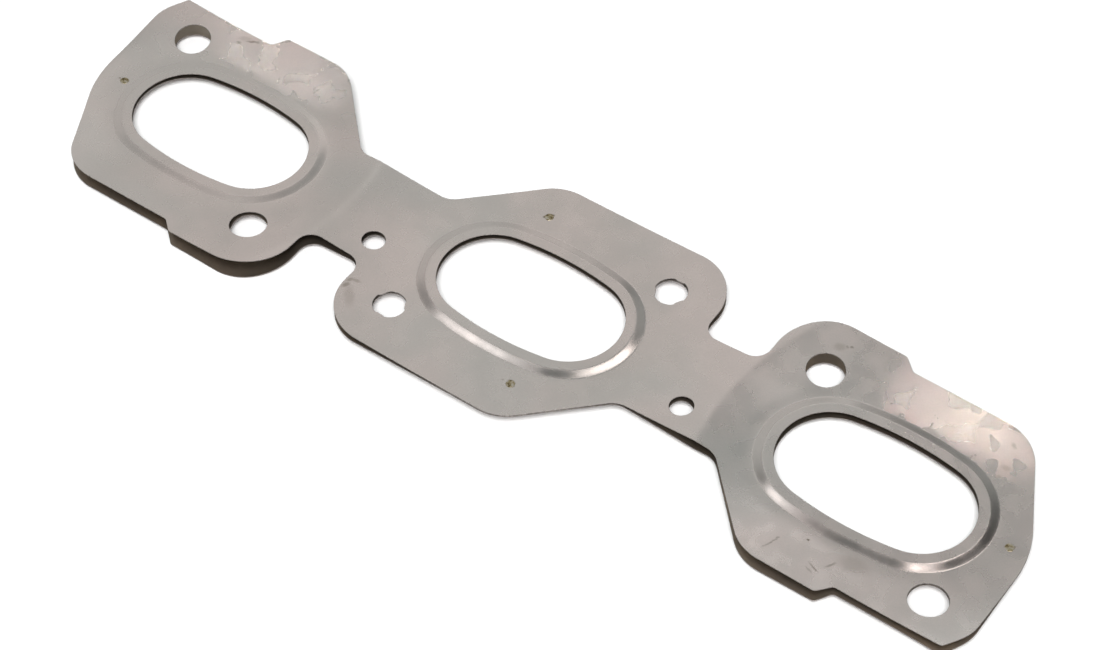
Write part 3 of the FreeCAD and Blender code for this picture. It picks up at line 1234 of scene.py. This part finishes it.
@dataclass
class Studio:
    """Floor, lights and camera."""

    floor_size: float = 6.0
    camera_place: Triple = (288.961, -376.079, 554.458)
    camera_right: Triple = (0.811635, 0.583883, -0.018177)
    camera_down: Triple = (0.437756, -0.628524, -0.642905)
    camera_ahead: Triple = (-0.386806, 0.513847, -0.76573)
    focal_length: float = 96.378
    sensor_width: float = 36.0
    nearest: float = 0.01
    farthest: float = 20.0
    air: StudioAir = StudioAir()
    boxes: tuple[SoftBox, ...] = (
        SoftBox("key_box", -56.0, 60.0, 4.0, 2.0, 2.0, 15.5),
        SoftBox("left_box", 171.9, 64.4, 6.0, 1.0, 1.12, 1.35),
        SoftBox("back_strip", 79.0, 70.6, 6.0, 0.66, 3.1, 2.3, (1.0, 0.98, 0.95)),
        SoftBox("near_card", 110.5, 41.5, 6.0, 0.7, 0.75, 1.05),
    )
    snoots: tuple[SnootLamp, ...] = (
        SnootLamp("right_snoot", (108.0, 27.0), (-0.24, 0.41, 0.88), (24.0, 10.5), 0.66,
                  (1.0, 0.95, 0.86)),
        SnootLamp("left_snoot", (-102.0, 27.0), (-0.49, 0.31, 0.815), (24.0, 12.0), 0.24,
                  (1.0, 0.95, 0.88)),
    )

    def build_floor(self) -> None:
        """Lay the pale board under the gasket's lowest points."""
        lowest = CAD_BOX[0].z
        half = 0.5 * self.floor_size
        mesh = bpy.data.meshes.new("pale_floor")
        plan = ((-half, -half), (half, -half), (half, half), (-half, half))
        corners = [(x, y, lowest) for x, y in plan]
        mesh.from_pydata(corners, [], [(0, 1, 2, 3)])
        mesh.materials.append(PaleBoard().material())
        floor = add_object("pale_floor", mesh)

    def build_lights(self) -> None:
        """Hang the lights and set the even light from all round."""
        bpy.context.scene.world = self.air.build()
        for lamp in self.boxes + self.snoots:
            lamp.build()

    def build_camera(self) -> None:
        """Set up the camera at the photograph's place and angle."""
        lens = bpy.data.cameras.new("photo_camera")
        lens.sensor_width = self.sensor_width
        lens.sensor_fit = "HORIZONTAL"
        lens.lens = self.focal_length
        lens.clip_start, lens.clip_end = self.nearest, self.farthest
        camera = add_object("photo_camera", lens)
        right, up = Vector(self.camera_right), -Vector(self.camera_down)
        back = -Vector(self.camera_ahead)
        turn = Matrix((right, up, back)).transposed().to_4x4()
        camera.matrix_world = Matrix.Translation(Vector(self.camera_place) * MM) @ turn
        bpy.context.scene.camera = camera


# Each row: x, y, length, width, angle, strength.
MARK_ROWS = {
    Trace.HEAT: (
        (-132.5, 0.4, 1.3, 1.0, 0.0, 0.75), (-134.6, 0.0, 0.8, 0.7, 0.0, 0.5),
        (-12.9, 24.2, 1.1, 0.8, 0.0, 0.8), (-11.6, 25.6, 1.5, 0.9, 60.0, 0.7),
        (11.3, -24.1, 1.1, 0.9, 0.0, 0.95), (12.8, -25.1, 1.3, 0.9, 40.0, 0.95),
        (134.6, 1.6, 1.0, 0.9, 0.0, 0.75), (135.7, 2.4, 1.5, 0.9, 70.0, 0.7),
    ),
    Trace.RUB: (
        (12.1, -24.6, 2.8, 1.8, -40.0, 0.6), (9.6, -24.9, 0.8, 0.6, 0.0, 0.35),
        (-12.2, 24.9, 2.6, 1.6, 50.0, 0.35), (-116.2, 27.5, 1.5, 0.9, 20.0, 0.8),
        (-113.2, 29.5, 4.0, 0.8, 24.0, 0.75), (-111.9, 30.1, 1.4, 0.9, 24.0, 0.5),
        (-115.5, 29.4, 4.5, 1.6, 24.0, 0.25), (-39.9, -23.1, 2.6, 1.4, 75.0, 0.5),
        (-40.1, -21.1, 2.2, 1.0, 60.0, 0.45), (-38.8, -20.5, 3.0, 1.2, 10.0, 0.35),
        (-37.0, -25.5, 8.0, 3.0, -50.0, 0.2), (90.1, -26.9, 1.5, 0.5, 60.0, 0.4),
        (89.9, -28.0, 1.7, 0.5, 60.0, 0.5), (89.6, -29.1, 1.7, 0.5, 60.0, 0.5),
        (89.3, -30.1, 1.6, 0.5, 60.0, 0.4), (89.0, -31.1, 1.4, 0.5, 60.0, 0.35),
        (96.0, -23.0, 0.8, 0.7, 0.0, 0.85), (101.4, -29.3, 4.0, 0.7, -20.0, 0.5),
        (104.2, -26.3, 3.4, 0.8, 62.0, 0.5), (100.9, -30.6, 2.6, 0.6, -20.0, 0.35),
        (108.4, -23.0, 9.0, 5.5, 10.0, 0.22), (74.4, 30.7, 1.3, 0.9, 20.0, 0.7),
        (73.4, 30.0, 1.0, 0.8, 0.0, 0.45), (71.8, 29.0, 3.6, 2.4, 30.0, 0.3),
        (121.2, 27.8, 2.4, 1.2, -30.0, 0.4), (122.8, 21.3, 2.4, 1.6, 0.0, 0.35),
        (122.5, 18.1, 1.6, 1.0, 40.0, 0.3),
    ),
    Trace.SCRATCH: (
        (93.0, -22.8, 8.0, 0.22, 60.0, 0.35), (104.0, -22.0, 5.0, 0.25, 20.0, 0.4),
        (-8.0, 21.0, 9.0, 0.22, 28.0, 0.3),
    ),
}
UPPER_MARKS = tuple(SheetMark(trace, *row) for trace, rows in MARK_ROWS.items() for row in rows)


def main() -> None:
    """Build and dress every piece, then light and frame the gasket."""
    bpy.context.scene.view_settings.view_transform = "Standard"
    studio = Studio()
    studio.build_camera()
    plan = GasketPlan()
    edge = SheetEdge("sheared_edge").material()
    upper_face = RolledSteel("upper_rolled_steel", marks=UPPER_MARKS).material()
    lower_face = RolledSteel("lower_rolled_steel").material()
    # Dark inner faces: painted shade for the gap between the sheets.
    painted_shade_inner_face = InnerSteelPaintedShade("inner_steel_painted_shade").material()
    upper = PressedSheet(
        plan, Side.UPPER, "upper_sheet", "upper_steel", [upper_face, edge, painted_shade_inner_face]).build()
    LOG.info("upper sheet: %d faces", len(upper.data.polygons))
    lower = PressedSheet(
        plan, Side.LOWER, "lower_sheet", "lower_steel", [lower_face, edge, painted_shade_inner_face]).build()
    LOG.info("lower sheet: %d faces", len(lower.data.polygons))
    welds = WeldNuggets(HeatTint().material(), plan.spread).build()
    LOG.info("spot welds: %d faces", len(welds.data.polygons))
    studio.build_floor()
    studio.build_lights()
    LOG.info("floor, lights and camera in place")


if __name__ == "__main__":
    logging.basicConfig(level=logging.INFO, format="%(name)s: %(message)s")
    main()
